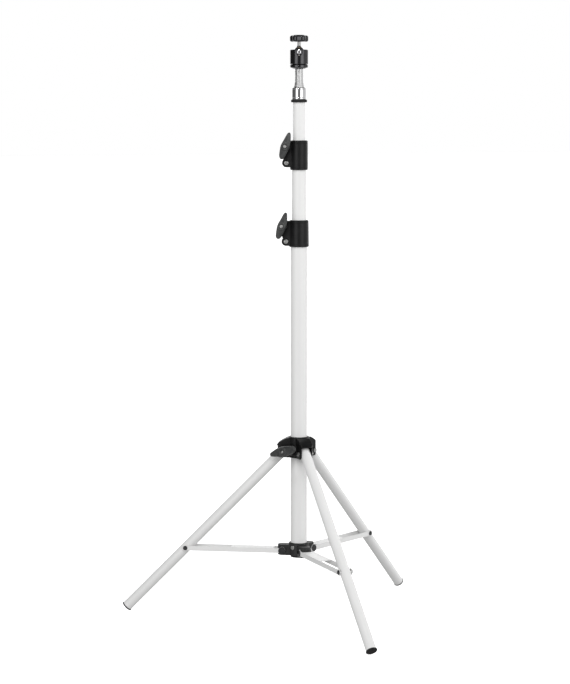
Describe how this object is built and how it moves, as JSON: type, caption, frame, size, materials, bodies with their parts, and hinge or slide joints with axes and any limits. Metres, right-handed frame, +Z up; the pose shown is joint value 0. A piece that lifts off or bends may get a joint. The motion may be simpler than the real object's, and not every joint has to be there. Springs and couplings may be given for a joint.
{
  "type": "telescopic tripod stand with ball head",
  "caption": "Telescopic tripod stand with braced folding legs, clamp collars with wing knobs, and a small ball head carrying a camera stud and a lobed lock nut.",
  "frame": {"origin": "the column's axis at floor level", "axes": "+Z up along the column; one leg points along -Y, the others 120 degrees to each side"},
  "size_m": [0.4228, 0.3683, 0.7788],
  "materials": {
    "white_paint": "satin white powder coat",
    "black_plastic": "fine moulded texture",
    "dark_plastic": "satin moulded",
    "knob_plastic": "semi-gloss moulded",
    "rubber": "matte",
    "nylon": "natural nylon",
    "steel": "zinc plated",
    "chrome": "bright turned",
    "black_metal": "black anodised, satin",
    "brass": "turned"
  },
  "bodies": {
    "column": {"column_tube": "white_paint", "column_cap": "black_plastic", "lower_spider": "dark_plastic", "lower_spider_screw": "steel", "lower_collar": "black_plastic", "lower_collar_bush": "nylon", "lower_collar_nut": "steel", "lower_collar_screw": "steel"},
    "lower_clamp_knob": {"lower_knob": "knob_plastic", "lower_knob_bolt": "steel"},
    "slider": {"upper_spider": "black_plastic", "leg_pivot_screws": "steel", "spider_insert": "brass", "brake_pad": "nylon"},
    "slider_knob": {"spider_knob": "knob_plastic", "spider_knob_stud": "steel"},
    "middle_section": {"middle_tube": "white_paint", "middle_glide": "nylon", "upper_collar": "black_plastic", "upper_collar_bush": "nylon", "upper_collar_nut": "steel", "upper_collar_screw": "steel"},
    "upper_clamp_knob": {"upper_knob": "knob_plastic", "upper_knob_bolt": "steel"},
    "top_section": {"top_tube": "white_paint", "top_glide": "nylon", "rubber_ring": "rubber", "spigot": "chrome", "head_base": "black_metal", "ball_seat": "nylon"},
    "lock_ring": {"head_housing": "black_metal"},
    "ball_stud": {"ball": "chrome", "camera_stud": "chrome"},
    "hand_nut": {"lock_nut": "black_metal", "lock_nut_insert": "brass"},
    "leg_front_body": {"leg_front": "white_paint", "leg_front_plug": "black_plastic", "leg_front_bush": "steel", "leg_front_foot": "rubber"},
    "strut_front_body": {"strut_front": "white_paint", "strut_front_pin": "black_metal", "strut_front_rivets": "black_metal"},
    "leg_right_body": {"leg_right": "white_paint", "leg_right_plug": "black_plastic", "leg_right_bush": "steel", "leg_right_foot": "rubber"},
    "strut_right_body": {"strut_right": "white_paint", "strut_right_pin": "black_metal", "strut_right_rivets": "black_metal"},
    "leg_left_body": {"leg_left": "white_paint", "leg_left_plug": "black_plastic", "leg_left_bush": "steel", "leg_left_foot": "rubber"},
    "strut_left_body": {"strut_left": "white_paint", "strut_left_pin": "black_metal", "strut_left_rivets": "black_metal"}
  },
  "joints": [
    {"name": "spider_slide", "type": "slide", "parent": "column", "child": "slider", "axis": [0, 0, 1], "range_m": [0, 0.18569]},
    {"name": "leg_front_fold", "type": "hinge", "parent": "slider", "child": "leg_front_body", "pos_m": [0, -0.022, 0.22432], "axis": [1, 0, 0], "range_deg": [0, 42.4]},
    {"name": "strut_front_fold", "type": "hinge", "parent": "column", "child": "strut_front_body", "pos_m": [0, -0.022, 0.09], "axis": [-1, 0, 0], "range_deg": [0, 87]},
    {"name": "leg_right_fold", "type": "hinge", "parent": "slider", "child": "leg_right_body", "pos_m": [0.01905, 0.011, 0.22432], "axis": [-0.5, 0.866, 0], "range_deg": [0, 42.4]},
    {"name": "strut_right_fold", "type": "hinge", "parent": "column", "child": "strut_right_body", "pos_m": [0.01905, 0.011, 0.09], "axis": [0.5, -0.866, 0], "range_deg": [0, 87]},
    {"name": "leg_left_fold", "type": "hinge", "parent": "slider", "child": "leg_left_body", "pos_m": [-0.01905, 0.011, 0.22432], "axis": [-0.5, -0.866, 0], "range_deg": [0, 42.4]},
    {"name": "strut_left_fold", "type": "hinge", "parent": "column", "child": "strut_left_body", "pos_m": [-0.01905, 0.011, 0.09], "axis": [0.5, 0.866, 0], "range_deg": [0, 87]},
    {"name": "spider_knob_turn", "type": "hinge", "parent": "slider", "child": "slider_knob", "pos_m": [-0.02598, -0.015, 0.228], "axis": [-0.866, -0.5, 0], "range_deg": [-360, 360]},
    {"name": "lower_knob_turn", "type": "hinge", "parent": "column", "child": "lower_clamp_knob", "pos_m": [-0.02319, 0.00184, 0.5274], "axis": [-0.5, -0.866, 0], "range_deg": [-360, 360]},
    {"name": "middle_slide", "type": "slide", "parent": "column", "child": "middle_section", "axis": [0, 0, 1], "range_m": [-0.066, 0.26]},
    {"name": "upper_knob_turn", "type": "hinge", "parent": "middle_section", "child": "upper_clamp_knob", "pos_m": [-0.01938, -0.00036, 0.6326], "axis": [-0.5, -0.866, 0], "range_deg": [-360, 360]},
    {"name": "top_slide", "type": "slide", "parent": "middle_section", "child": "top_section", "axis": [0, 0, 1], "range_m": [-0.049, 0.28]},
    {"name": "head_pan", "type": "hinge", "parent": "top_section", "child": "lock_ring", "pos_m": [0, 0, 0.75], "axis": [0, 0, 1], "continuous": true},
    {"name": "ball_tilt", "type": "hinge", "parent": "lock_ring", "child": "ball_stud", "pos_m": [0, 0, 0.7558], "axis": [0.9272, -0.3746, 0], "range_deg": [-35, 90]},
    {"name": "lock_nut_turn", "type": "hinge", "parent": "ball_stud", "child": "hand_nut", "pos_m": [0, 0, 0.775], "axis": [0, 0, 1], "continuous": true}
  ],
  "couplings": [
    {"joint": "leg_front_fold", "follows": "spider_slide", "rad_per_m": 3.9849},
    {"joint": "strut_front_fold", "follows": "spider_slide", "rad_per_m": 8.177},
    {"joint": "leg_right_fold", "follows": "spider_slide", "rad_per_m": 3.9849},
    {"joint": "strut_right_fold", "follows": "spider_slide", "rad_per_m": 8.177},
    {"joint": "leg_left_fold", "follows": "spider_slide", "rad_per_m": 3.9849},
    {"joint": "strut_left_fold", "follows": "spider_slide", "rad_per_m": 8.177}
  ]
}
